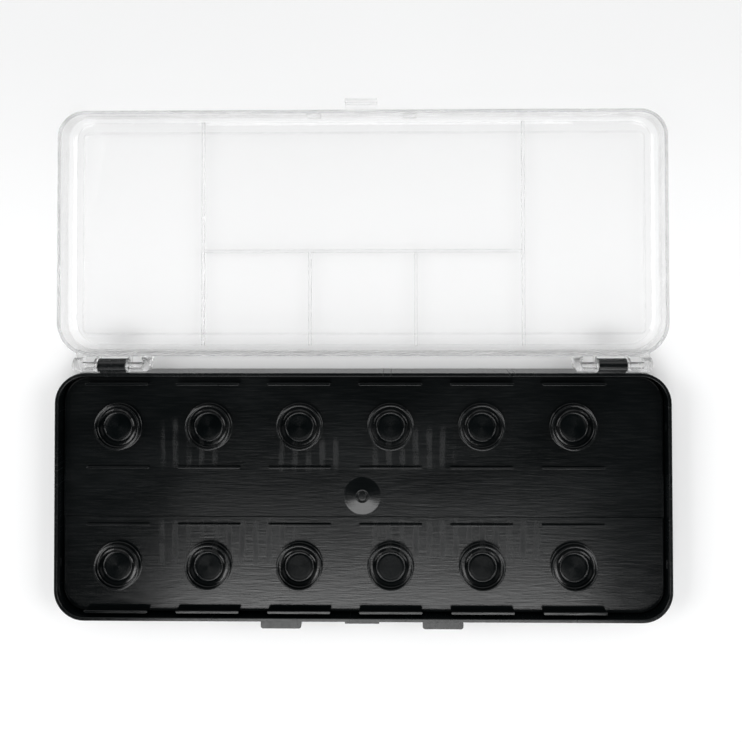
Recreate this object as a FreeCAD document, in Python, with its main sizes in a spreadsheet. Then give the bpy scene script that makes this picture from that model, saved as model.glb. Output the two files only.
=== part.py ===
import FreeCAD, Part
import math
import os
import re
import Sketcher
from FreeCAD import Placement, Rotation, Vector

# An empty watercolor pan set, lying open and flat: a black tray, the black
# pan rack that drops into it, and a clear lid whose inside is a mixing palette.
# Origin: centre of the tray's underside. +X right, +Y towards the lid, +Z up.
# Lengths are millimetres.

DIMENSIONS = {
    # tray
    "tray_length": 216.4,
    "tray_width": 86.6,
    "rim_height": 10.9,
    "wall": 1.2,
    "tray_floor": 1.3,
    "corner_radius": 10.7,
    "foot_radius": 1.4,
    "rim_round": 0.2,
    # front lugs and the catch that the lid's latch closes over
    "lug_width": 14.2,
    "lug_spacing": 56.6,
    "lug_reach": 2.4,
    "lug_bottom": 6.2,
    "lug_round": 0.9,
    "catch_width": 12.0,
    "catch_reach": 0.9,
    "catch_bottom": 9.0,
    "catch_thickness": 1.3,
    "root_depth": 0.6,
    # snap beads on the side walls that hold the rack down
    "bead_width": 3.0,
    "bead_reach": 0.25,
    "bead_spacing": 48.0,
    "bead_gap": 0.2,
    "bead_thickness": 0.7,
    # hinges
    "hinge_spacing": 174.8,
    "hinge_offset": 2.9,
    "axis_height": 11.0,
    "knuckle_width": 9.7,
    "knuckle_radius": 2.3,
    "knuckle_bore_radius": 1.08,
    "knuckle_mouth": 1.7,
    "web_top": 0.6,
    "ear_width": 27.0,
    "ear_radius": 2.6,
    "ear_slot": 10.4,
    "ear_root_top": 10.9,
    "arm_root": 1.45,
    "cheek": 0.7,
    "end_arm": 2.4,
    "front_bar": 1.4,
    "pin_radius": 1.0,
    "ear_corner": 2.8,
    "window_corner": 1.3,
    # pan rack
    "rack_gap": 0.35,
    "rack_skirt": 1.2,
    "rack_round": 0.8,
    "plate_top": 7.4,
    "plate_thickness": 1.4,
    "row_shift": 0.75,
    "strip_width": 14.9,
    "strip_depth": 0.3,
    # the moulding gate: a low cone with a crater, and the gate's stub in the crater
    "gate_cone_radius": 6.3,
    "gate_cone_height": 0.6,
    "gate_crater_radius": 2.1,
    "gate_crater_depth": 0.45,
    "gate_stub_radius": 1.5,
    "gate_stub_height": 0.3,
    # pan seats: a spigot whose floor carries a bead ring, between two pairs of fences
    "seat_pitch": 32.3,
    "seat_offset": -6.1,
    "seat_row": 24.6,
    "spigot_radius": 8.05,
    "spigot_wall": 0.65,
    "spigot_height": 2.1,
    "seat_floor_height": 0.4,
    "bead_ring_radius": 4.95,
    "bead_ring_width": 0.55,
    "bead_ring_height": 0.25,
    "fence_length": 22.3,
    "fence_root": 0.6,
    "outer_fence_row": 39.95,
    "outer_fence_width": 1.0,
    "outer_fence_height": 2.4,
    "inner_fence_row": 10.1,
    "inner_fence_width": 0.7,
    "inner_fence_height": 0.85,
    "edge_round": 0.18,
    # lid
    "lid_length": 215.4,
    "lid_width": 86.9,
    "lid_floor": 1.2,
    "lid_near_radius": 12.2,
    "lid_far_radius": 9.6,
    "lid_outer_round": 4.8,
    "lid_inner_round": 4.0,
    "lid_rim_round": 0.3,
    "panel_length": 205.0,
    "panel_from_hinge_side": 6.9,
    "panel_from_free_side": 6.5,
    "panel_corner": 2.0,
    "panel_depth": 0.12,
    "rib_width": 1.0,
    "rib_height": 1.1,
    "rib_inset": 2.4,
    "rib_root": 0.2,
    "rib_round": 0.35,
    "side_rib_spacing": 116.8,
    "middle_rib_spacing": 38.6,
    "cross_rib_from_hinge_side": 37.0,
    # latch tab and rim bumps on the lid's free edge
    "latch_width": 11.4,
    "latch_reach": 3.3,
    "latch_thickness": 1.1,
    "latch_bracket": 2.6,
    "latch_rise": 3.1,
    "latch_lip": 1.0,
    "latch_lip_thickness": 0.8,
    "bump_width": 5.0,
    "bump_reach": 1.6,
    "bump_spacing": 34.0,
    "bump_height": 3.0,
    "bump_round": 0.7,
}
SEATS_PER_ROW = 6
NEAR = 0.01
ORIGIN_POINT = (-1, 1)
HORIZONTAL_AXIS = -1
VERTICAL_AXIS = -2

doc = FreeCAD.newDocument("WatercolorPanSet")


# ---------------------------------------------------------------- the sheet

def fill_sheet():
    """The driving dimensions, one per row, each with its name as alias."""
    sheet = doc.addObject("Spreadsheet::Sheet", "Dimensions")
    for row, (name, value) in enumerate(DIMENSIONS.items(), start=1):
        sheet.set("A%d" % row, name)
        sheet.set("B%d" % row, str(value))
        sheet.setAlias("B%d" % row, name)
    doc.recompute()
    return sheet


sheet = fill_sheet()


def cells(text):
    """An expression in the sheet's names, written as FreeCAD resolves it."""
    return re.sub(r"[a-z_]+", r"Dimensions.\g<0>", text)


def number(text):
    """The present value of an expression in the sheet's names."""
    return float(sheet.evalExpression(cells(text)))


def bind(thing, name, text):
    thing.setExpression(name, cells(text))


# ---------------------------------------------------------------- sketches

def new_body(label):
    body = doc.addObject("PartDesign::Body", "Body_" + label)
    body.Label = label
    body.Placement = Placement(Vector(0, 0, 0), Rotation())
    return body


def origin_plane(body, role):
    return next(f for f in body.Origin.OriginFeatures if f.Role == role)


def new_sketch(body, name, role="XY_Plane", offset="0"):
    """A sketch on one of the body's origin planes, moved along its normal."""
    sketch = body.newObject("Sketcher::SketchObject", name)
    sketch.AttachmentSupport = [(origin_plane(body, role), "")]
    sketch.MapMode = "FlatFace"
    bind(sketch, "AttachmentOffset.Base.z", offset)
    return sketch


def dimension(sketch, kind, *references, text):
    """A driving dimension bound to an expression in the sheet's names."""
    index = sketch.addConstraint(Sketcher.Constraint(kind, *references, number(text)))
    bind(sketch, "Constraints[%d]" % index, text)


def place_along(sketch, kind, geometry, point, text):
    """Holds a point at a distance from the sketch's origin, along X or along Y."""
    distance = number(text)
    if abs(distance) < NEAR:
        axis = VERTICAL_AXIS if kind == "DistanceX" else HORIZONTAL_AXIS
        sketch.addConstraint(Sketcher.Constraint("PointOnObject", geometry, point, axis))
    elif distance > 0:
        dimension(sketch, kind, *ORIGIN_POINT, geometry, point, text=text)
    else:
        dimension(sketch, kind, geometry, point, *ORIGIN_POINT, text="-(%s)" % text)


def place_point(sketch, geometry, point, x, y):
    place_along(sketch, "DistanceX", geometry, point, x)
    place_along(sketch, "DistanceY", geometry, point, y)


def join_smoothly(sketch, first, count):
    """Joins each element of a closed outline to the next, tangent at the joint."""
    for i in range(count):
        following = first + (i + 1) % count
        sketch.addConstraint(Sketcher.Constraint("Tangent", first + i, 2, following, 1))


def add_arc(sketch, centre, radius, start_degrees, end_degrees):
    whole = Part.Circle(centre, Vector(0, 0, 1), radius)
    arc = Part.ArcOfCircle(whole, math.radians(start_degrees), math.radians(end_degrees))
    return sketch.addGeometry(arc, False)


def polygon(sketch, points):
    """A closed outline of straight lines through (x, y) pairs of expressions."""
    corners = [Vector(number(x), number(y), 0) for x, y in points]
    first = sketch.GeometryCount
    count = len(corners)
    for i in range(count):
        sketch.addGeometry(Part.LineSegment(corners[i], corners[(i + 1) % count]), False)
    for i in range(count):
        following = first + (i + 1) % count
        sketch.addConstraint(Sketcher.Constraint("Coincident", first + i, 2, following, 1))
    for i, (x, y) in enumerate(points):
        place_point(sketch, first + i, 1, x, y)


def rectangle(sketch, width, depth, x="0", y="0"):
    """A rectangle of the given width and depth about x, y."""
    left = "(%s) - (%s) / 2" % (x, width)
    right = "(%s) + (%s) / 2" % (x, width)
    low = "(%s) - (%s) / 2" % (y, depth)
    high = "(%s) + (%s) / 2" % (y, depth)
    polygon(sketch, [(left, low), (right, low), (right, high), (left, high)])


def circle(sketch, radius, x="0", y="0"):
    centre = Vector(number(x), number(y), 0)
    index = sketch.addGeometry(Part.Circle(centre, Vector(0, 0, 1), number(radius)), False)
    dimension(sketch, "Radius", index, text=radius)
    place_point(sketch, index, 3, x, y)


def slot(sketch, length, width, x, y):
    """A bar with round ends, its long side along the sketch's X."""
    radius = number(width) / 2
    reach = (number(length) - number(width)) / 2
    left = Vector(number(x) - reach, number(y), 0)
    right = Vector(number(x) + reach, number(y), 0)
    up = Vector(0, radius, 0)
    bottom = sketch.addGeometry(Part.LineSegment(left - up, right - up), False)
    right_end = add_arc(sketch, right, radius, -90, 90)
    sketch.addGeometry(Part.LineSegment(right + up, left + up), False)
    left_end = add_arc(sketch, left, radius, 90, 270)
    join_smoothly(sketch, bottom, 4)
    sketch.addConstraint(Sketcher.Constraint("Horizontal", bottom))
    sketch.addConstraint(Sketcher.Constraint("Equal", right_end, left_end))
    dimension(sketch, "Radius", right_end, text="(%s) / 2" % width)
    dimension(sketch, "DistanceX", left_end, 3, right_end, 3, text="(%s) - (%s)" % (length, width))
    place_point(sketch, left_end, 3, "(%s) - ((%s) - (%s)) / 2" % (x, length, width), y)


def rounded_rectangle(sketch, length, low, high, low_radius, high_radius):
    """A rectangle centred on X, from low to high in Y, its corners round."""
    half, y_low, y_high = number(length) / 2, number(low), number(high)
    r_low, r_high = number(low_radius), number(high_radius)
    corners = [
        (Vector(half - r_low, y_low + r_low, 0), r_low, -90),
        (Vector(half - r_high, y_high - r_high, 0), r_high, 0),
        (Vector(r_high - half, y_high - r_high, 0), r_high, 90),
        (Vector(r_low - half, y_low + r_low, 0), r_low, 180),
    ]
    sides, arcs = [], []
    for i, (centre, radius, start) in enumerate(corners):
        last_centre, last_radius, last_start = corners[i - 1]
        side_start = last_centre + polar(last_radius, last_start + 90)
        sides.append(sketch.addGeometry(
            Part.LineSegment(side_start, centre + polar(radius, start)), False))
        arcs.append(add_arc(sketch, centre, radius, start, start + 90))
    join_smoothly(sketch, sides[0], 8)
    for side, kind in zip(sides, ("Horizontal", "Vertical", "Horizontal", "Vertical")):
        sketch.addConstraint(Sketcher.Constraint(kind, side))
    sketch.addConstraint(Sketcher.Constraint("Equal", arcs[0], arcs[3]))
    sketch.addConstraint(Sketcher.Constraint("Equal", arcs[1], arcs[2]))
    dimension(sketch, "Radius", arcs[0], text=low_radius)
    dimension(sketch, "Radius", arcs[1], text=high_radius)
    place_along(sketch, "DistanceY", sides[0], 1, low)
    place_along(sketch, "DistanceX", sides[1], 1, "(%s) / 2" % length)
    place_along(sketch, "DistanceY", sides[2], 1, high)
    place_along(sketch, "DistanceX", sides[3], 1, "-(%s) / 2" % length)


def round_off(sketch, x, side, y, radius):
    """What a rounding takes off the square corner at x, y of a part that ends at x on
    the side given as + or -, and at y on its low side, with room to spare outside."""
    inner_x = "(%s) - (%s%s)" % (x, side, radius)
    outer_x = "(%s) + (%sroot_depth)" % (x, side)
    arc_y = "(%s) + (%s)" % (y, radius)
    below = "(%s) - root_depth" % y
    path = [(x, arc_y), (outer_x, arc_y), (outer_x, below), (inner_x, below), (inner_x, y)]
    start = -90
    if side == "-":
        path.reverse()
        start = 180
    centre = Vector(number(inner_x), number(arc_y), 0)
    arc = add_arc(sketch, centre, number(radius), start, start + 90)
    points = [Vector(number(a), number(b), 0) for a, b in path]
    for i in range(len(points) - 1):
        sketch.addGeometry(Part.LineSegment(points[i], points[i + 1]), False)
    for i in range(len(points)):
        following = arc + (i + 1) % len(points)
        sketch.addConstraint(Sketcher.Constraint("Coincident", arc + i, 2, following, 1))
        place_point(sketch, arc + i, 2, *path[i])
    dimension(sketch, "Radius", arc, text=radius)


def polar(radius, degrees):
    return Vector(radius * math.cos(math.radians(degrees)), radius * math.sin(math.radians(degrees)), 0)


# ---------------------------------------------------------------- features

def checked(body, feature, grows):
    """Recomputes and stops if the feature didn't add, or didn't cut, anything."""
    body.Tip = feature
    doc.recompute()
    base = feature.BaseFeature
    before = base.Shape.Volume if base else 0.0
    change = feature.Shape.Volume - before
    if (change > 0) != grows or abs(change) < NEAR:
        raise RuntimeError("%s changed the volume by %.3f" % (feature.Name, change))
    return feature


def pad(body, sketch, height):
    feature = body.newObject("PartDesign::Pad", sketch.Name + "_pad")
    feature.Profile = sketch
    bind(feature, "Length", height)
    return checked(body, feature, grows=True)


def pocket(body, sketch, depth, upwards=False):
    feature = body.newObject("PartDesign::Pocket", sketch.Name + "_pocket")
    feature.Profile = sketch
    feature.Reversed = upwards
    bind(feature, "Length", depth)
    return checked(body, feature, grows=False)


def revolve(body, sketch):
    """Turns the profile once round the sketch's vertical axis."""
    feature = body.newObject("PartDesign::Revolution", sketch.Name + "_turned")
    feature.Profile = sketch
    feature.ReferenceAxis = (sketch, ["V_Axis"])
    feature.Angle = 360.0
    return checked(body, feature, grows=True)


def edge_names(shape, test):
    return ["Edge%d" % i for i, edge in enumerate(shape.Edges, start=1) if test(edge)]


def fillet(body, name, radius, test):
    """Rounds every edge of the body, as it stands, that passes the test."""
    base = body.Tip
    names = edge_names(base.Shape, test)
    if not names:
        raise RuntimeError("no edge to round for " + name)
    feature = body.newObject("PartDesign::Fillet", name)
    feature.Base = (base, names)
    bind(feature, "Radius", radius)
    body.Tip = feature
    doc.recompute()
    if feature.Shape.isNull() or not feature.Shape.isValid():
        raise RuntimeError("could not round " + name)
    return feature


def mirror_left_right(body, name, originals):
    feature = body.newObject("PartDesign::Mirrored", name)
    feature.Originals = originals
    feature.MirrorPlane = (origin_plane(body, "YZ_Plane"), [""])
    body.Tip = feature
    doc.recompute()
    return feature


def seat_pattern(body, name, original):
    """Repeats one column's feature along a row of seats."""
    feature = body.newObject("PartDesign::LinearPattern", name)
    feature.Originals = [original]
    feature.Direction = (origin_plane(body, "X_Axis"), [""])
    feature.Occurrences = SEATS_PER_ROW
    bind(feature, "Length", "seat_pitch * %d" % (SEATS_PER_ROW - 1))
    return checked(body, feature, grows=True)


def is_upright(edge):
    box = edge.BoundBox
    return box.ZLength > NEAR and box.XLength < NEAR and box.YLength < NEAR


def lies_at(edge, height):
    box = edge.BoundBox
    return abs(box.ZMin - height) < NEAR and abs(box.ZMax - height) < NEAR


# ---------------------------------------------------------------- the tray

def tray_shell(body):
    outline = new_sketch(body, "TrayOutline")
    rounded_rectangle(outline, "tray_length", "-tray_width / 2", "tray_width / 2",
                      "corner_radius", "corner_radius")
    pad(body, outline, "rim_height")
    fillet(body, "TrayFoot", "foot_radius", lambda edge: lies_at(edge, 0))
    mouth = new_sketch(body, "TrayMouth", offset="rim_height")
    rounded_rectangle(mouth, "tray_length - 2 * wall", "wall - tray_width / 2",
                      "tray_width / 2 - wall", "corner_radius - wall", "corner_radius - wall")
    pocket(body, mouth, "rim_height - tray_floor")
    rim = number("rim_height")
    fillet(body, "TrayRim", "rim_round", lambda edge: lies_at(edge, rim))


def tray_front(body):
    """Two lugs to hold the tray by, and the catch between them."""
    lug = new_sketch(body, "Lug", offset="lug_bottom")
    rectangle(lug, "lug_width", "lug_reach + root_depth",
              "lug_spacing / 2", "-(tray_width + lug_reach - root_depth) / 2")
    lug_pad = pad(body, lug, "rim_height - lug_bottom - rim_round")
    mirror_left_right(body, "Lugs", [lug_pad])
    front = number("-tray_width / 2 - lug_reach")
    fillet(body, "LugCorners", "lug_round",
           lambda edge: is_upright(edge) and abs(edge.BoundBox.YMin - front) < NEAR)
    catch = new_sketch(body, "Catch", offset="catch_bottom")
    rectangle(catch, "catch_width", "catch_reach + root_depth",
              "0", "-(tray_width + catch_reach - root_depth) / 2")
    pad(body, catch, "catch_thickness")
    catch_front = number("-tray_width / 2 - catch_reach")
    fillet(body, "CatchNose", "rim_round",
           lambda edge: abs(edge.BoundBox.YMax - catch_front) < NEAR)


def tray_beads(body):
    beads = new_sketch(body, "Beads", offset="plate_top + bead_gap")
    for y in ("bead_spacing / 2", "-bead_spacing / 2"):
        rectangle(beads, "bead_reach + root_depth", "bead_width",
                  "(tray_length - 2 * wall - bead_reach + root_depth) / 2", y)
    bead_pad = pad(body, beads, "bead_thickness")
    mirror_left_right(body, "BeadsBothSides", [bead_pad])


def tray_knuckles(body):
    """Open-bottomed knuckles that the lid's pins snap up into."""
    start = "(hinge_spacing - knuckle_width) / 2"
    axis_y = "tray_width / 2 + hinge_offset"
    web = new_sketch(body, "KnuckleWeb", "YZ_Plane", start)
    polygon(web, [
        ("tray_width / 2 - root_depth", "axis_height - knuckle_radius"),
        (axis_y, "axis_height - knuckle_radius"),
        (axis_y, "axis_height + web_top"),
        ("tray_width / 2 - root_depth", "rim_height - rim_round"),
    ])
    web_pad = pad(body, web, "knuckle_width")
    barrel = new_sketch(body, "KnuckleBarrel", "YZ_Plane", start)
    circle(barrel, "knuckle_radius", axis_y, "axis_height")
    barrel_pad = pad(body, barrel, "knuckle_width")
    bore = new_sketch(body, "KnuckleBore", "YZ_Plane", start)
    circle(bore, "knuckle_bore_radius", axis_y, "axis_height")
    bore_pocket = pocket(body, bore, "knuckle_width", upwards=True)
    mouth = new_sketch(body, "KnuckleMouth", "YZ_Plane", start)
    rectangle(mouth, "knuckle_mouth", "knuckle_radius + root_depth",
              axis_y, "axis_height - (knuckle_radius + root_depth) / 2")
    mouth_pocket = pocket(body, mouth, "knuckle_width", upwards=True)
    mirror_left_right(body, "Knuckles", [web_pad, barrel_pad, bore_pocket, mouth_pocket])


def make_tray():
    body = new_body("tray")
    tray_shell(body)
    tray_front(body)
    tray_beads(body)
    tray_knuckles(body)
    return body


# ---------------------------------------------------------------- the pan rack

RACK_LENGTH = "(tray_length - 2 * wall - 2 * rack_gap)"
RACK_FRONT = "(wall + rack_gap - tray_width / 2)"
RACK_CORNER = "(corner_radius - wall - rack_gap)"
FIRST_SEAT = "(seat_offset - seat_pitch * %g)" % ((SEATS_PER_ROW - 1) / 2)


def rack_plate(body):
    outline = new_sketch(body, "RackOutline", offset="tray_floor")
    rounded_rectangle(outline, RACK_LENGTH, RACK_FRONT, "-" + RACK_FRONT,
                      RACK_CORNER, RACK_CORNER)
    pad(body, outline, "plate_top - tray_floor")
    top = number("plate_top")
    fillet(body, "RackShoulder", "rack_round", lambda edge: lies_at(edge, top))
    hollow = new_sketch(body, "RackHollow", offset="tray_floor")
    hollow_front = "(%s + rack_skirt)" % RACK_FRONT
    hollow_corner = "(%s - rack_skirt)" % RACK_CORNER
    rounded_rectangle(hollow, RACK_LENGTH + " - 2 * rack_skirt", hollow_front, "-" + hollow_front,
                      hollow_corner, hollow_corner)
    pocket(body, hollow, "plate_top - plate_thickness - tray_floor", upwards=True)


def rack_strip(body):
    """The brush strip between the two rows, with the moulding gate in its middle."""
    strip = new_sketch(body, "Strip", offset="plate_top")
    rectangle(strip, RACK_LENGTH + " + 2 * rack_gap", "strip_width", y="-row_shift")
    pocket(body, strip, "strip_depth")
    floor = "plate_top - strip_depth"
    crater = floor + " + gate_cone_height - gate_crater_depth"
    gate = new_sketch(body, "GateCone", "XZ_Plane", "row_shift")
    polygon(gate, [
        ("0", floor + " - gate_cone_height"),
        ("gate_cone_radius", floor + " - gate_cone_height"),
        ("gate_cone_radius", floor),
        ("gate_crater_radius", floor + " + gate_cone_height"),
        ("gate_crater_radius", crater),
        ("gate_stub_radius", crater),
        ("gate_stub_radius", crater + " + gate_stub_height"),
        ("0", crater + " + gate_stub_height"),
    ])
    revolve(body, gate)


def rack_seats(body):
    spigots = new_sketch(body, "Spigots", offset="plate_top")
    floors = new_sketch(body, "SeatFloors", offset="plate_top")
    rings = new_sketch(body, "BeadRings", offset="plate_top")
    for row in ("seat_row - row_shift", "-seat_row - row_shift"):
        circle(spigots, "spigot_radius", FIRST_SEAT, row)
        circle(spigots, "spigot_radius - spigot_wall", FIRST_SEAT, row)
        circle(floors, "spigot_radius - spigot_wall / 2", FIRST_SEAT, row)
        circle(rings, "bead_ring_radius + bead_ring_width / 2", FIRST_SEAT, row)
        circle(rings, "bead_ring_radius - bead_ring_width / 2", FIRST_SEAT, row)
    seat_pattern(body, "SpigotRow", pad(body, spigots, "spigot_height"))
    seat_pattern(body, "SeatFloorRow", pad(body, floors, "seat_floor_height"))
    seat_pattern(body, "BeadRingRow", pad(body, rings, "seat_floor_height + bead_ring_height"))


def rack_fences(body, name, row, width, height):
    """A fence at the front and at the rear, for every seat of the row."""
    fences = new_sketch(body, name, offset="plate_top - fence_root")
    for y in (row + " - row_shift", "-%s - row_shift" % row):
        slot(fences, "fence_length", width, FIRST_SEAT, y)
    seat_pattern(body, name + "Row", pad(body, fences, height + " + fence_root"))


def make_rack():
    body = new_body("pan_rack")
    rack_plate(body)
    rack_strip(body)
    rack_seats(body)
    rack_fences(body, "OuterFences", "outer_fence_row", "outer_fence_width", "outer_fence_height")
    rack_fences(body, "InnerFences", "inner_fence_row", "inner_fence_width", "inner_fence_height")
    rises = ("spigot_height", "seat_floor_height + bead_ring_height",
             "outer_fence_height", "inner_fence_height")
    tops = [number("plate_top + " + rise) for rise in rises]
    fillet(body, "SoftTops", "edge_round",
           lambda edge: any(lies_at(edge, top) for top in tops))
    return body


# ---------------------------------------------------------------- the lid

LID_NEAR = "(tray_width / 2 + 2 * hinge_offset)"
LID_FAR = "(tray_width / 2 + 2 * hinge_offset + lid_width)"
LID_MIDDLE = "(tray_width / 2 + 2 * hinge_offset + lid_width / 2)"
AXIS_Y = "(tray_width / 2 + hinge_offset)"


def lid_shell(body):
    outline = new_sketch(body, "LidOutline")
    rounded_rectangle(outline, "lid_length", LID_NEAR, LID_FAR,
                      "lid_near_radius", "lid_far_radius")
    pad(body, outline, "rim_height")
    mouth = new_sketch(body, "LidMouth", offset="rim_height")
    rounded_rectangle(mouth, "lid_length - 2 * wall", LID_NEAR + " + wall", LID_FAR + " - wall",
                      "lid_near_radius - wall", "lid_far_radius - wall")
    pocket(body, mouth, "rim_height - lid_floor")
    floor = number("lid_floor")
    fillet(body, "LidInnerRound", "lid_inner_round", lambda edge: lies_at(edge, floor))
    panel = new_sketch(body, "LidPanel", offset="lid_floor + lid_inner_round")
    rounded_rectangle(panel, "panel_length", LID_NEAR + " + panel_from_hinge_side",
                      LID_FAR + " - panel_from_free_side", "panel_corner", "panel_corner")
    pocket(body, panel, "lid_inner_round + panel_depth")
    fillet(body, "LidOuterRound", "lid_outer_round", lambda edge: lies_at(edge, 0))
    rim = number("rim_height")
    fillet(body, "LidRim", "lid_rim_round", lambda edge: lies_at(edge, rim))


def lid_rib(body, name, width, depth, x, y):
    rib = new_sketch(body, name, offset="lid_floor - rib_root")
    rectangle(rib, width, depth, x, y)
    pad(body, rib, "rib_root + rib_height")


def lid_ribs(body):
    """Low ribs that divide the lid's floor into three large and three small wells."""
    cross_y = "(%s + cross_rib_from_hinge_side)" % LID_NEAR
    for side, name in ((1, "Right"), (-1, "Left")):
        lid_rib(body, "SideRib" + name, "rib_width", "lid_width - 2 * rib_inset",
                "%d * side_rib_spacing / 2" % side, LID_MIDDLE)
    lid_rib(body, "CrossRib", "side_rib_spacing", "rib_width", "0", cross_y)
    for side, name in ((1, "Right"), (-1, "Left")):
        lid_rib(body, "MiddleRib" + name, "rib_width", "cross_rib_from_hinge_side - rib_inset",
                "%d * middle_rib_spacing / 2" % side,
                "(%s + (cross_rib_from_hinge_side + rib_inset) / 2)" % LID_NEAR)
    top = number("lid_floor + rib_height")
    fillet(body, "RibRounds", "rib_round", lambda edge: lies_at(edge, top))


def lid_ears(body):
    """Ears with a moulded pin across their windows, one pair at each knuckle."""
    outer_end = "(hinge_spacing + ear_width) / 2"
    low_end = "(hinge_spacing - ear_width) / 2"
    root = new_sketch(body, "EarRoot", "YZ_Plane", low_end)
    polygon(root, [
        (AXIS_Y, "axis_height - ear_radius"),
        (LID_NEAR + " + wall / 2", "axis_height - ear_radius"),
        (LID_NEAR + " + wall / 2", "ear_root_top - lid_rim_round"),
        (AXIS_Y, "ear_root_top - lid_rim_round"),
    ])
    root_pad = pad(body, root, "ear_width")
    arm = new_sketch(body, "EarArm", "YZ_Plane", outer_end + " - end_arm")
    polygon(arm, [
        (AXIS_Y, "axis_height - ear_radius"),
        (LID_NEAR + " + arm_root", "axis_height - ear_radius"),
        (LID_NEAR + " + arm_root", "ear_root_top - lid_rim_round"),
        (AXIS_Y, "ear_root_top - lid_rim_round"),
    ])
    arm_pad = pad(body, arm, "end_arm")
    roll = new_sketch(body, "EarRoll", "YZ_Plane", low_end)
    circle(roll, "ear_radius", AXIS_Y, "axis_height")
    roll_pad = pad(body, roll, "ear_width")
    slot_cut = new_sketch(body, "EarSlot", offset="axis_height + ear_radius")
    rectangle(slot_cut, "ear_slot", "hinge_offset + ear_radius",
              "hinge_spacing / 2", "(%s + (hinge_offset - ear_radius) / 2)" % AXIS_Y)
    slot_pocket = pocket(body, slot_cut, "2 * ear_radius")
    windows = new_sketch(body, "EarWindows", offset="axis_height + ear_radius")
    low = "(%s - ear_radius + front_bar)" % AXIS_Y
    high = LID_NEAR
    slot_edge = "(ear_slot / 2 + cheek)"
    window_end = "(ear_width / 2 - end_arm)"
    for side in ("+", "-"):
        near_slot = "hinge_spacing / 2 %s %s" % (side, slot_edge)
        at_end = "hinge_spacing / 2 %s %s" % (side, window_end)
        before_end = "hinge_spacing / 2 %s (%s - window_corner)" % (side, window_end)
        polygon(windows, [
            (near_slot, low), (before_end, low), (at_end, low + " + window_corner"),
            (at_end, high + " - window_corner"), (before_end, high), (near_slot, high),
        ])
    window_pocket = pocket(body, windows, "2 * ear_radius")
    corners = new_sketch(body, "EarCorners", offset="axis_height + ear_radius")
    for side in ("+", "-"):
        round_off(corners, "hinge_spacing / 2 %s ear_width / 2" % side, side,
                  "(%s - ear_radius)" % AXIS_Y, "ear_corner")
    corner_pocket = pocket(body, corners, "2 * ear_radius")
    pin = new_sketch(body, "HingePin", "YZ_Plane", low_end + " + end_arm / 2")
    circle(pin, "pin_radius", AXIS_Y, "axis_height")
    pin_pad = pad(body, pin, "ear_width - end_arm")
    ear = [root_pad, arm_pad, roll_pad, slot_pocket, window_pocket, corner_pocket, pin_pad]
    mirror_left_right(body, "Ears", ear)


def lid_latch(body):
    """A tab on the free edge that hangs over the tray's catch when closed."""
    profile = new_sketch(body, "Latch", "YZ_Plane", "-latch_width / 2")
    outside = LID_FAR + " + latch_reach"
    inside = LID_FAR + " + latch_reach - latch_thickness"
    tip = inside + " - latch_lip"
    polygon(profile, [
        (LID_FAR + " - wall / 2", "rim_height - latch_bracket"),
        (outside, "rim_height - latch_bracket"),
        (outside, "rim_height + latch_rise"),
        (tip, "rim_height + latch_rise"),
        (tip, "rim_height + latch_rise - latch_lip_thickness"),
        (inside, "rim_height + latch_rise - latch_lip_thickness"),
        (inside, "rim_height - latch_bracket + latch_thickness"),
        (LID_FAR + " - wall / 2", "rim_height - latch_bracket + latch_thickness"),
    ])
    pad(body, profile, "latch_width")
    outer_face = number(outside)
    fillet(body, "LatchSides", "lid_rim_round",
           lambda edge: is_upright(edge) and abs(edge.BoundBox.YMin - outer_face) < NEAR)


def lid_bumps(body):
    """Two rounded bumps inside the free edge's wall."""
    bump = new_sketch(body, "Bump", offset="rim_height - bump_height - lid_rim_round")
    rectangle(bump, "bump_width", "bump_reach + wall / 2",
              "bump_spacing / 2", "(%s - wall - bump_reach / 2 + wall / 4)" % LID_FAR)
    bump_pad = pad(body, bump, "bump_height")
    mirror_left_right(body, "Bumps", [bump_pad])
    face = number(LID_FAR + " - wall - bump_reach")
    fillet(body, "BumpRounds", "bump_round",
           lambda edge: abs(edge.BoundBox.YMin - face) < NEAR and edge.BoundBox.YMax - face < NEAR)


def make_lid():
    body = new_body("lid")
    lid_shell(body)
    lid_ribs(body)
    lid_latch(body)
    lid_bumps(body)
    lid_ears(body)
    return body


# ---------------------------------------------------------------- build, check, write

def check(bodies):
    doc.recompute()
    for thing in doc.Objects:
        if "Invalid" in thing.State or "Error" in thing.State:
            raise RuntimeError("%s failed: %s" % (thing.Name, thing.State))
    for body in bodies:
        shape = body.Shape
        if shape.isNull() or not shape.isValid() or len(shape.Solids) != 1:
            raise RuntimeError(body.Label + " is not one valid solid")
        box = shape.BoundBox
        print("%-9s %9.1f mm3  x %.2f %.2f  y %.2f %.2f  z %.2f %.2f" % (
            body.Label, shape.Volume, box.XMin, box.XMax, box.YMin, box.YMax, box.ZMin, box.ZMax))


def main():
    bodies = [make_tray(), make_rack(), make_lid()]
    check(bodies)
    os.makedirs("parts", exist_ok=True)
    for body in bodies:
        body.Shape.exportStep("parts/%s.step" % body.Label)


main()
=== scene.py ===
import math

import bmesh
import bpy
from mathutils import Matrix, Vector


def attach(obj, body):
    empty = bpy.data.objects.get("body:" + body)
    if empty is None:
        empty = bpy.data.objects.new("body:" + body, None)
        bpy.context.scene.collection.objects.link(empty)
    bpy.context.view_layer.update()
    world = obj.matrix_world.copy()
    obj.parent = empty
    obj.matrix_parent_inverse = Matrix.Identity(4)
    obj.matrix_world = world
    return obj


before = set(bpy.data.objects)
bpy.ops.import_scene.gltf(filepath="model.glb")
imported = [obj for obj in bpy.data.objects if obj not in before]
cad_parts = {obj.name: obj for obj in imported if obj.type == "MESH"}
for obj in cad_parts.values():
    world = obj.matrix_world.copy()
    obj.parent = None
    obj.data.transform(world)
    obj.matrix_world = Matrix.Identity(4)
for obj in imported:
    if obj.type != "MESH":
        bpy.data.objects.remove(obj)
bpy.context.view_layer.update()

MM = 0.001

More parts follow.
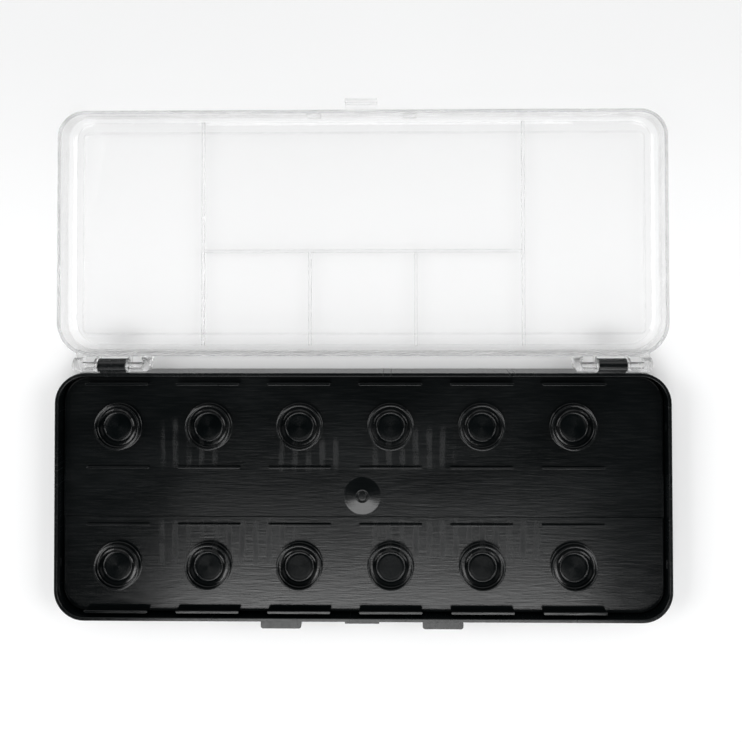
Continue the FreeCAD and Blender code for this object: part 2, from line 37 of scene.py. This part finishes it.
# The rack's layout, in metres.
SEAT_PITCH = 32.3 * MM
SEAT_OFFSET = -6.1 * MM
SEAT_ROW = 24.6 * MM
ROW_SHIFT = -0.75 * MM
PLATE_TOP = 7.4 * MM
STRIP_HALF = 7.45 * MM
STRIP_DEPTH = 0.3 * MM

# A seat's section, in millimetres.
SPIGOT_RADIUS = 8.05
SPIGOT_WALL = 0.65
SPIGOT_HEIGHT = 2.1
SEAT_FLOOR = 0.4
FOOT_ROUND = 0.25
BEAD_RING = 4.95
BEAD_RING_HALF = 0.32
DISC_RADIUS = 4.6
DISC_CHAMFER = 0.06
CLEAR = 0.04                 # gap drawn between a turned skin and the solid's true form

# Counts: seats in a row, and steps round a turned skin.
SEATS_PER_ROW = 6
TURN_STEPS = 128

# The lid as it lies open, in millimetres.
LID_HALF = 107.7
LID_NEAR = 49.1
LID_FAR = 136.0
NEAR_CORNER = 12.2
FAR_CORNER = 9.6
RIM_OUTER_INSET = 0.28
RIM_INNER_INSET = 1.02
FOOT_INSET = 2.9
STEP_HALF = 102.5
STEP_NEAR = 56.0
STEP_FAR = 129.5
STEP_CORNER = 2.0
RIB_REACH = 58.4
RIB_HALF_WIDTH = 0.5
CROSS_RIB_Y = 86.1
MIDDLE_RIB_X = 19.3
RIB_NEAR_Y = 51.7
RIB_FAR_Y = 133.4

# Sections of the lid's edges, strips of painted shade: (offset to the left, height) in
# millimetres.
# The foot's strip is not a surface: it lies inside the wall, and shows as a painted shade line
# through it.
RIB_SECTION = ((-0.55, 1.10), (-0.55, 1.92), (-0.49, 2.13), (-0.34, 2.29), (-0.14, 2.35),
               (0.14, 2.35), (0.34, 2.29), (0.49, 2.13), (0.55, 1.92), (0.55, 1.10))
STEP_SECTION = ((-0.34, 1.19), (-0.24, 1.30), (0.0, 1.36), (0.24, 1.30), (0.34, 1.10))
RIM_SECTION = ((-0.20, 10.55), (-0.17, 10.80), (0.0, 10.93), (0.17, 10.80), (0.20, 10.55))
FOOT_SECTION = ((-0.20, 1.60), (-0.15, 1.72), (0.0, 1.78), (0.15, 1.72), (0.20, 1.60))

# The plastics: colours, turned rings and flow marks.
BLACK_DEEP = (0.0008, 0.0015, 0.0017, 1)
BLACK_WORN = (0.0036, 0.0050, 0.0055, 1)
STRAIGHT_THROUGH = 0.35      # share of the view that passes the clear walls unbent
RING_PITCH = 0.30 * MM
RING_DEPTH = 7.0e-6
BAND_PITCH = 4.75 * MM
# Fields of flow marks: left, right, front and rear edge in mm, and strength.
BAND_FIELDS = (
    (-70.0, -27.0, -20.0, -13.0, 1.0),
    (4.0, 60.0, -18.0, -13.0, 0.8),
    (-69.0, -53.0, 14.0, 23.0, 0.6),
    (-28.0, -10.0, 13.0, 16.0, 0.6),
    (5.0, 30.0, 14.0, 20.0, 0.6),
)

# Lamps: name, place and size in metres, and power in watts.
SOFTBOXES = (
    ("front_softbox", (-0.02, -0.76, 0.98), (0.84, 0.46), 5.4),
    ("front_glow", (-0.03, -0.46, 1.0), (0.74, 0.20), 0.3),
    ("low_front_softbox", (0.0, -1.9, 0.75), (1.6, 0.8), 9),
    ("left_softbox", (-1.35, 0.25, 1.0), (1.0, 0.9), 12.5),
    ("right_softbox", (1.35, 0.25, 1.0), (1.0, 0.9), 12.5),
    ("rear_softbox", (0.0, 1.1, 1.0), (2.2, 0.8), 4.5),
)
LAMPS_AIM = (0, 0.04, 0)

# The paper's tone at the nearer and the farther end of a span in Y, in metres: painted shade,
# darker towards the rear as the light falls off there.
PAPER_SPAN = (0.03, 0.18)
PAPER_SHADE_TONES = (0.955, 0.845)

# Camera: nearly straight down, from above the open lid.
LENS = 33.96
LENS_SHIFT = (-0.0285, -0.1765)
CAMERA_PLACE = Vector((13.887, 86.164, 256.787)) * MM
CAMERA_TURN = (0.01536, 0.01252, -0.00202)


# ---------------------------------------------------------------- node helpers

def add_node(tree, kind, inputs=None, **settings):
    """A shader node; inputs maps socket names or numbers to values or to other sockets."""
    made = tree.nodes.new(kind)
    for key, value in settings.items():
        setattr(made, key, value)
    for key, value in (inputs or {}).items():
        if isinstance(value, bpy.types.NodeSocket):
            tree.links.new(value, made.inputs[key])
        else:
            made.inputs[key].default_value = value
    return made


def calc(tree, operation, first, second=0.0):
    inputs = {0: first, 1: second}
    return add_node(tree, "ShaderNodeMath", inputs, operation=operation).outputs[0]


def spread(tree, value, low, high, to_low=0.0, to_high=1.0):
    """Maps low..high smoothly to to_low..to_high, and holds the ends."""
    inputs = {"Value": value, "From Min": low, "From Max": high,
              "To Min": to_low, "To Max": to_high}
    return add_node(tree, "ShaderNodeMapRange", inputs,
                    interpolation_type="SMOOTHSTEP").outputs["Result"]


def noise(tree, coordinates, scale, turn=0.0, detail=3.0, rough=0.5):
    """Noise with cells per metre given for each axis, turned about Z by some degrees."""
    turned = add_node(tree, "ShaderNodeMapping", {
        "Vector": coordinates, "Rotation": (0, 0, math.radians(turn))})
    scaled = add_node(tree, "ShaderNodeMapping", {
        "Vector": turned.outputs[0], "Scale": scale})
    return add_node(tree, "ShaderNodeTexNoise", {
        "Vector": scaled.outputs[0], "Scale": 1.0, "Detail": detail,
        "Roughness": rough}).outputs["Fac"]


def new_material(name):
    material = bpy.data.materials.new(name)
    material.use_nodes = True
    tree = material.node_tree
    tree.nodes.clear()
    output = add_node(tree, "ShaderNodeOutputMaterial")
    coordinates = add_node(tree, "ShaderNodeTexCoord").outputs["Object"]
    return material, tree, output, coordinates


def dress(node_name, material):
    """Gives every material slot of a CAD node the same material."""
    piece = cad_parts[node_name]
    for slot in piece.material_slots:
        slot.material = material


# ---------------------------------------------------------------- black plastic

def times(tree, first, *others):
    for other in others:
        first = calc(tree, "MULTIPLY", first, other)
    return first


def plus(tree, first, *others):
    for other in others:
        first = calc(tree, "ADD", first, other)
    return first


def window(tree, value, low, high, soft):
    """One between low and high, falling to nought over a soft edge outside them."""
    rising = spread(tree, value, low - soft, low)
    falling = spread(tree, value, high, high + soft, 1.0, 0.0)
    return times(tree, rising, falling)


def scratches(tree, coordinates, turns, density):
    """Fine scratches, a bundle for each direction in degrees."""
    marks = None
    for turn in turns:
        lines = noise(tree, coordinates, (14, density, 1), turn=turn, detail=1.0)
        where = spread(tree, noise(tree, coordinates, (20, 45, 20), turn=turn), 0.46, 0.62)
        mark = times(tree, spread(tree, lines, 0.60, 0.74), where)
        marks = mark if marks is None else calc(tree, "MAXIMUM", marks, mark)
    return marks


def black_plastic(name, relief, worn, roughness, finish):
    """Glossy black plastic. relief is its own height in metres, worn how scuffed it is,
    and finish a share by which it is rougher, as where the mould was left matt."""
    material, tree, output, coordinates = new_material(name)
    clouds = noise(tree, coordinates, (22, 60, 60), detail=4.0)
    peel = noise(tree, coordinates, (900, 900, 900), detail=2.0)
    marks = worn(tree, coordinates)
    colour_share = plus(tree, times(tree, marks, 0.5), spread(tree, clouds, 0.35, 0.75, 0, 0.4))
    colour = add_node(tree, "ShaderNodeMix", {
        "Factor": colour_share, "A": BLACK_DEEP, "B": BLACK_WORN}, data_type="RGBA")
    rough = plus(tree, spread(tree, clouds, 0.3, 0.7, *roughness), times(tree, marks, 0.16),
                 finish(tree, coordinates))
    height = plus(tree, times(tree, peel, 1.0e-6), relief(tree, coordinates))
    bump = add_node(tree, "ShaderNodeBump", {"Height": height, "Distance": 1.0, "Strength": 1.0})
    shader = add_node(tree, "ShaderNodeBsdfPrincipled", {
        "Base Color": colour.outputs["Result"], "Roughness": rough, "IOR": 1.5,
        "Normal": bump.outputs[0]})
    tree.links.new(shader.outputs[0], output.inputs["Surface"])
    return material


def tray_relief(tree, coordinates):
    return times(tree, noise(tree, coordinates, (60, 60, 60)), 2.0e-5)


def tray_wear(tree, coordinates):
    return scratches(tree, coordinates, (0, 90), 900)


def tray_finish(tree, coordinates):
    """The mould's texture, as speckle."""
    return spread(tree, noise(tree, coordinates, (900, 900, 900), detail=2.0), 0.4, 0.7, 0.0, 0.07)


def strip_places(tree, coordinates):
    """X, and distance in Y from the strip's middle line."""
    axes = add_node(tree, "ShaderNodeSeparateXYZ", {0: coordinates})
    return axes.outputs["X"], calc(tree, "SUBTRACT", axes.outputs["Y"], ROW_SHIFT)


def seat_radius(tree, coordinates):
    """Distance from the nearest seat's axis."""
    x, from_middle = strip_places(tree, coordinates)
    across = calc(tree, "PINGPONG", calc(tree, "SUBTRACT", x, SEAT_OFFSET), SEAT_PITCH / 2)
    across = calc(tree, "SUBTRACT", SEAT_PITCH / 2, across)
    along = calc(tree, "SUBTRACT", calc(tree, "ABSOLUTE", from_middle), SEAT_ROW)
    return calc(tree, "SQRT", plus(tree, times(tree, across, across), times(tree, along, along)))


def rack_relief(tree, coordinates):
    """Grain along the box, and low flow waves."""
    grain = times(tree, noise(tree, coordinates, (150, 1700, 60), detail=3.0), 2.8e-5)
    warp = times(tree, noise(tree, coordinates, (18, 18, 18), detail=1.0), 1.2e-4)
    return plus(tree, grain, warp)


def rack_wear(tree, coordinates):
    """Long sweeping scratches left by brushes in the strip, few elsewhere."""
    x, from_middle = strip_places(tree, coordinates)
    off_line = calc(tree, "ABSOLUTE", from_middle)
    in_strip = spread(tree, off_line, STRIP_HALF - 2 * MM, STRIP_HALF, 1.0, 0.12)
    in_reach = plus(tree, window(tree, x, -72 * MM, -34 * MM, 6 * MM), 0.15)
    return times(tree, scratches(tree, coordinates, (2, -4, 7), 2400), in_strip, in_reach)


def rack_finish(tree, coordinates):
    """Bands of matt flow marks across the box beside the strip, and faint streaks all over."""
    x, from_middle = strip_places(tree, coordinates)
    wobble = times(tree, noise(tree, coordinates, (30, 60, 1)), 2.4 * MM)
    bands = calc(tree, "SINE", times(tree, plus(tree, x, wobble), 2 * math.pi / BAND_PITCH))
    bands = spread(tree, bands, -0.2, 1.0)
    grains = spread(tree, noise(tree, coordinates, (3300, 2700, 1), detail=2.0), 0.34, 0.66)
    grains = times(tree, grains, spread(tree, noise(tree, coordinates, (210, 90, 1)), 0.28, 0.66))
    where = None
    for low_x, high_x, low_y, high_y, strength in BAND_FIELDS:
        field = times(tree, window(tree, x, low_x * MM, high_x * MM, 4 * MM),
                      window(tree, from_middle, low_y * MM, high_y * MM, 6 * MM), strength)
        where = field if where is None else calc(tree, "MAXIMUM", where, field)
    streaks = spread(tree, noise(tree, coordinates, (110, 1500, 1)), 0.35, 0.7, 0.0, 0.06)
    return plus(tree, times(tree, bands, grains, where, 0.95), streaks)


# ---------------------------------------------------------------- clear plastic

def clear_plastic(name):
    """Polished clear plastic that lets lamps through, less so where they graze it, with painted
    shade where it is seen edge on.
    """
    material, tree, output, coordinates = new_material(name)
    ripple = noise(tree, coordinates, (45, 45, 45), detail=2.0)
    bump = add_node(tree, "ShaderNodeBump", {
        "Height": calc(tree, "MULTIPLY", ripple, 1.5e-5), "Distance": 1.0, "Strength": 1.0})
    haze = spread(tree, noise(tree, coordinates, (70, 70, 70), detail=4.0), 0.5, 0.8, 0.0, 0.05)
    grazing = add_node(tree, "ShaderNodeLayerWeight", {"Blend": 0.5}).outputs["Facing"]
    # Painted shade: the glass's colour darkens where it is seen edge on, for dark lines along the
    # walls.
    edge = spread(tree, grazing, 0.10, 0.62, 0.998, 0.84)
    edge_shade_tint = add_node(tree, "ShaderNodeCombineColor", {0: edge, 1: edge, 2: edge})
    glass = add_node(tree, "ShaderNodeBsdfPrincipled", {
        "Base Color": edge_shade_tint.outputs[0], "Roughness": haze, "IOR": 1.45,
        "Transmission Weight": 1.0, "Normal": bump.outputs[0]})
    # Lamps dim where they graze the walls; the share of the view that passes straight through dims
    # there too, as painted shade.
    shade = spread(tree, grazing, 0.75, 0.98, 1.0, 0.55)
    tint = add_node(tree, "ShaderNodeCombineColor", {0: shade, 1: shade, 2: shade})
    through = add_node(tree, "ShaderNodeBsdfTransparent", {"Color": tint.outputs[0]})
    path = add_node(tree, "ShaderNodeLightPath")
    lit = calc(tree, "MAXIMUM", path.outputs["Is Shadow Ray"], path.outputs["Is Diffuse Ray"])
    open_share = calc(tree, "MAXIMUM", lit, STRAIGHT_THROUGH)
    mixed = add_node(tree, "ShaderNodeMixShader", {
        0: open_share, 1: glass.outputs[0], 2: through.outputs[0]})
    tree.links.new(mixed.outputs[0], output.inputs["Surface"])
    return material


# ---------------------------------------------------------------- swept lid edges

def edge_shade_film():
    """A thin clear skin that darkens where it is seen edge on, like a moulded corner: painted
    shade lines on the lid.
    """
    material, tree, output, coordinates = new_material("lid_edge_shade")
    smudge_and_shade = noise(tree, coordinates, (130, 130, 130), detail=3.0)
    grazing = add_node(tree, "ShaderNodeLayerWeight", {"Blend": 0.5}).outputs["Facing"]
    # Painted shade: the tint darkens where the skin is seen edge on, varied a little by the smudge
    # noise.
    shade = times(tree, spread(tree, grazing, 0.10, 0.80, 1.0, 0.76),
                  spread(tree, smudge_and_shade, 0.3, 0.7, 0.95, 1.0))
    tint = add_node(tree, "ShaderNodeCombineColor", {0: shade, 1: shade, 2: shade})
    through = add_node(tree, "ShaderNodeBsdfTransparent", {"Color": tint.outputs[0]})
    pale = add_node(tree, "ShaderNodeMix", {
        "Factor": smudge_and_shade, "A": (0.80, 0.83, 0.85, 1), "B": (0.90, 0.92, 0.93, 1)},
        data_type="RGBA")
    shine = add_node(tree, "ShaderNodeBsdfPrincipled", {
        "Base Color": pale.outputs["Result"], "IOR": 1.45,
        "Roughness": spread(tree, smudge_and_shade, 0.3, 0.7, 0.08, 0.16)})
    share = spread(tree, grazing, 0.1, 0.9, 0.05, 0.22)
    mixed = add_node(tree, "ShaderNodeMixShader", {
        0: share, 1: through.outputs[0], 2: shine.outputs[0]})
    tree.links.new(mixed.outputs[0], output.inputs["Surface"])
    return material


def mesh_piece(name, shape, material):
    """An object in the scene from a finished bmesh, which is freed."""
    mesh = bpy.data.meshes.new(name)
    shape.to_mesh(mesh)
    shape.free()
    mesh.materials.append(material)
    piece = bpy.data.objects.new(name, mesh)
    bpy.context.scene.collection.objects.link(piece)
    return piece


def rounded_loop(half_x, near_y, far_y, near_corner, far_corner, steps=10):
    """A closed level path in mm, with one corner radius near the hinge and one far off."""
    path = []
    for start, side, end_y, inward, corner in (
            (0, 1, far_y, -1, far_corner), (90, -1, far_y, -1, far_corner),
            (180, -1, near_y, 1, near_corner), (270, 1, near_y, 1, near_corner)):
        centre_x = side * (half_x - corner)
        centre_y = end_y + inward * corner
        for i in range(steps + 1):
            angle = math.radians(start + 90 * i / steps)
            path.append((centre_x + corner * math.cos(angle), centre_y + corner * math.sin(angle)))
    return path


def lid_loop(inset):
    """The lid's own outline, drawn in by some millimetres."""
    return rounded_loop(LID_HALF - inset, LID_NEAR + inset, LID_FAR - inset,
                        NEAR_CORNER - inset, FAR_CORNER - inset)


def swept(name, path, closed, section, material):
    """A strip along a level path. section holds (offset to the left, height) in mm."""
    shape = bmesh.new()
    points = [Vector(point) for point in path]
    last = len(points) - 1
    rows = []
    for i, point in enumerate(points):
        before = points[i - 1] if i or closed else point
        after = points[(i + 1) % len(points)] if i < last or closed else point
        along = (after - before).normalized()
        left = Vector((-along.y, along.x))
        rows.append([
            shape.verts.new(Vector((*(point + left * offset), height)) * MM)
            for offset, height in section])
    for i in range(len(rows) if closed else last):
        near, far = rows[i], rows[(i + 1) % len(rows)]
        for j in range(len(section) - 1):
            face = shape.faces.new((near[j], far[j], far[j + 1], near[j + 1]))
            face.smooth = True
    bmesh.ops.recalc_face_normals(shape, faces=shape.faces)
    piece = mesh_piece(name, shape, material)
    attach(piece, "lid")


def lid_details():
    """Open strips of painted shade on the ribs, the panel's step and the rim, most of them partly
    sunk, and one wholly inside the foot of the wall."""
    film = edge_shade_film()
    for side, sign in (("left", -1), ("right", 1)):
        x = sign * RIB_REACH
        swept("rib_" + side, [(x, RIB_NEAR_Y), (x, RIB_FAR_Y)], False, RIB_SECTION, film)
        x = sign * MIDDLE_RIB_X
        end = CROSS_RIB_Y - RIB_HALF_WIDTH
        swept("rib_middle_" + side, [(x, RIB_NEAR_Y), (x, end)], False, RIB_SECTION, film)
    reach = RIB_REACH - RIB_HALF_WIDTH
    swept("rib_cross", [(-reach, CROSS_RIB_Y), (reach, CROSS_RIB_Y)], False, RIB_SECTION, film)
    step = rounded_loop(STEP_HALF, STEP_NEAR, STEP_FAR, STEP_CORNER, STEP_CORNER)
    swept("lid_step", step, True, STEP_SECTION, film)
    swept("rim_outer", lid_loop(RIM_OUTER_INSET), True, RIM_SECTION, film)
    swept("rim_inner", lid_loop(RIM_INNER_INSET), True, RIM_SECTION, film)
    swept("lid_foot", lid_loop(FOOT_INSET), True, FOOT_SECTION, film)


# ---------------------------------------------------------------- turned pieces

def round_over(centre_r, centre_z, radius, start, end, steps=6):
    """Points in mm along an arc of a profile, between two angles in degrees."""
    angles = [math.radians(start + (end - start) * i / steps) for i in range(steps + 1)]
    return [(centre_r + radius * math.cos(a), centre_z + radius * math.sin(a)) for a in angles]


def turned(name, profile, place, material):
    """A skin turned from a profile of (radius, height) in mm, from its foot to its axis."""
    shape = bmesh.new()
    rings = []
    for radius, height in profile:
        ring = []
        for i in range(TURN_STEPS if radius > 0 else 1):
            angle = 2 * math.pi * i / TURN_STEPS
            spot = Vector((radius * math.cos(angle), radius * math.sin(angle), height)) * MM
            ring.append(shape.verts.new(spot + place))
        rings.append(ring)
    for outer, inner in zip(rings, rings[1:]):
        for i in range(TURN_STEPS):
            j = (i + 1) % TURN_STEPS
            if len(inner) == 1:
                shape.faces.new((outer[i], outer[j], inner[0]))
            else:
                shape.faces.new((outer[i], outer[j], inner[j], inner[i]))
    for face in shape.faces:
        face.smooth = True
    piece = mesh_piece(name, shape, material)
    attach(piece, "tray")


def seat_profile():
    """Outer wall, round lip, inner wall, bead ring, and the flat that the disc lies on."""
    lip = SPIGOT_WALL / 2 + CLEAR
    middle = SPIGOT_RADIUS - SPIGOT_WALL / 2
    floor = SEAT_FLOOR + CLEAR
    top = SPIGOT_HEIGHT + CLEAR - lip
    points = round_over(middle + lip + FOOT_ROUND, FOOT_ROUND, FOOT_ROUND, 270, 180)
    points += round_over(middle, top, lip, 0, 180, 12)
    points += round_over(middle - lip - FOOT_ROUND, floor + FOOT_ROUND, FOOT_ROUND, 0, -90)
    points += round_over(BEAD_RING, floor, BEAD_RING_HALF, 0, 180, 10)
    return points + [(DISC_RADIUS, floor), (0.0, floor)]


def disc_profile():
    """The flat turned face in a seat's middle, with a narrow chamfer round it."""
    floor = SEAT_FLOOR + 2 * CLEAR
    return [(DISC_RADIUS, floor - CLEAR), (DISC_RADIUS - DISC_CHAMFER, floor)] + [
        (DISC_RADIUS * i / 5, floor) for i in range(4, -1, -1)]


def disc_black():
    """Turned black plastic: fine rings, and less shine than the polished faces."""
    material, tree, output, coordinates = new_material("disc_black")
    turns = times(tree, seat_radius(tree, coordinates), 2 * math.pi / RING_PITCH)
    rings = times(tree, calc(tree, "SINE", turns), RING_DEPTH)
    fine = times(tree, noise(tree, coordinates, (900, 900, 900), detail=2.0), 2.0e-6)
    bump = add_node(tree, "ShaderNodeBump", {
        "Height": plus(tree, rings, fine), "Distance": 1.0, "Strength": 1.0})
    clouds = noise(tree, coordinates, (90, 90, 90))
    rough = spread(tree, clouds, 0.3, 0.7, 0.20, 0.27)
    colour = add_node(tree, "ShaderNodeMix", {
        "Factor": spread(tree, clouds, 0.3, 0.8, 0.0, 0.4), "A": BLACK_DEEP,
        "B": BLACK_WORN}, data_type="RGBA")
    shader = add_node(tree, "ShaderNodeBsdfPrincipled", {
        "Base Color": colour.outputs["Result"], "Roughness": rough, "IOR": 1.5,
        "Specular IOR Level": 0.08, "Normal": bump.outputs[0]})
    tree.links.new(shader.outputs[0], output.inputs["Surface"])
    return material


def gate_profile():
    """A low cone with a soft foot, a crater in its top, and the gate's stub."""
    return [
        (6.6, 0.0), (6.3, 0.03), (5.9, 0.10), (5.2, 0.20), (4.4, 0.32), (3.6, 0.44), (2.9, 0.55),
        (2.5, 0.61), (2.28, 0.64), (2.12, 0.62), (2.02, 0.54), (1.95, 0.36), (1.88, 0.22),
        (1.76, 0.20), (1.66, 0.26), (1.60, 0.40), (1.50, 0.49), (1.30, 0.53), (0.9, 0.50),
        (0.5, 0.55), (0.0, 0.52),
    ]


def rack_details(material):
    """Twelve seats with their discs, and the gate mark in the strip."""
    disc_material = disc_black()
    for row, side in (("rear", 1), ("front", -1)):
        for i in range(SEATS_PER_ROW):
            x = SEAT_OFFSET + SEAT_PITCH * (i - (SEATS_PER_ROW - 1) / 2)
            place = Vector((x, side * SEAT_ROW + ROW_SHIFT, PLATE_TOP))
            turned("seat_%s_%d" % (row, i + 1), seat_profile(), place, material)
            turned("disc_%s_%d" % (row, i + 1), disc_profile(), place, disc_material)
    middle = Vector((0, ROW_SHIFT, PLATE_TOP - STRIP_DEPTH))
    turned("gate_mark", gate_profile(), middle, material)


# ---------------------------------------------------------------- stage, light, camera

def pale_floor():
    """Paper under the object, with painted shade that makes it a little darker towards the rear.
    """
    bpy.ops.mesh.primitive_plane_add(size=12.0, location=(0, 0, -0.0003))
    floor = bpy.context.object
    floor.name = "floor"
    material, tree, output, coordinates = new_material("floor_paper")
    mottle = noise(tree, coordinates, (9, 9, 9), detail=2.0)
    rearward = add_node(tree, "ShaderNodeSeparateXYZ", {0: coordinates}).outputs["Y"]
    # Random mottle, plus painted shade that darkens the paper towards the rear.
    tone_and_shade = plus(tree, spread(tree, mottle, 0.3, 0.7, 0.0, 0.012),
                spread(tree, rearward, *PAPER_SPAN, *PAPER_SHADE_TONES))
    colour = add_node(tree, "ShaderNodeCombineColor", {0: tone_and_shade, 1: tone_and_shade, 2: tone_and_shade})
    shader = add_node(tree, "ShaderNodeBsdfPrincipled", {
        "Base Color": colour.outputs[0], "Roughness": 0.8, "Specular IOR Level": 0.1})
    tree.links.new(shader.outputs[0], output.inputs["Surface"])
    floor.data.materials.append(material)


def softbox(name, place, size, power):
    light = bpy.data.lights.new(name, "AREA")
    light.shape = "RECTANGLE"
    light.size, light.size_y = size
    light.energy = power
    lamp = bpy.data.objects.new(name, light)
    lamp.location = place
    towards = Vector(LAMPS_AIM) - Vector(place)
    lamp.rotation_euler = towards.to_track_quat("-Z", "Y").to_euler()
    bpy.context.scene.collection.objects.link(lamp)


def studio():
    """A room that is pale all round and dim overhead, with lamps on all four sides."""
    world = bpy.data.worlds.new("studio")
    bpy.context.scene.world = world
    world.use_nodes = True
    tree = world.node_tree
    tree.nodes.clear()
    direction = add_node(tree, "ShaderNodeTexCoord").outputs["Generated"]
    height = add_node(tree, "ShaderNodeSeparateXYZ", {0: direction}).outputs["Z"]
    strength = spread(tree, height, 0.35, 0.75, 0.55, 0.045)
    back = add_node(tree, "ShaderNodeBackground", {
        "Color": (0.97, 0.985, 1, 1), "Strength": strength})
    output = add_node(tree, "ShaderNodeOutputWorld")
    tree.links.new(back.outputs[0], output.inputs["Surface"])
    for name, place, size, power in SOFTBOXES:
        softbox(name, place, size, power)


def look_through():
    camera = bpy.data.cameras.new("camera")
    camera.lens = LENS
    camera.shift_x, camera.shift_y = LENS_SHIFT
    camera.clip_start = 0.01
    eye = bpy.data.objects.new("camera", camera)
    eye.location = CAMERA_PLACE
    eye.rotation_euler = CAMERA_TURN
    bpy.context.scene.collection.objects.link(eye)
    bpy.context.scene.camera = eye


# ---------------------------------------------------------------- the scene

look_through()
studio()
pale_floor()
dress("tray", black_plastic("tray_black", tray_relief, tray_wear, (0.16, 0.22), tray_finish))
rack_black = black_plastic("rack_black", rack_relief, rack_wear, (0.13, 0.19), rack_finish)
dress("pan_rack", rack_black)
rack_details(rack_black)
dress("lid", clear_plastic("lid_clear"))
lid_details()
bpy.context.scene.view_settings.view_transform = "Standard"
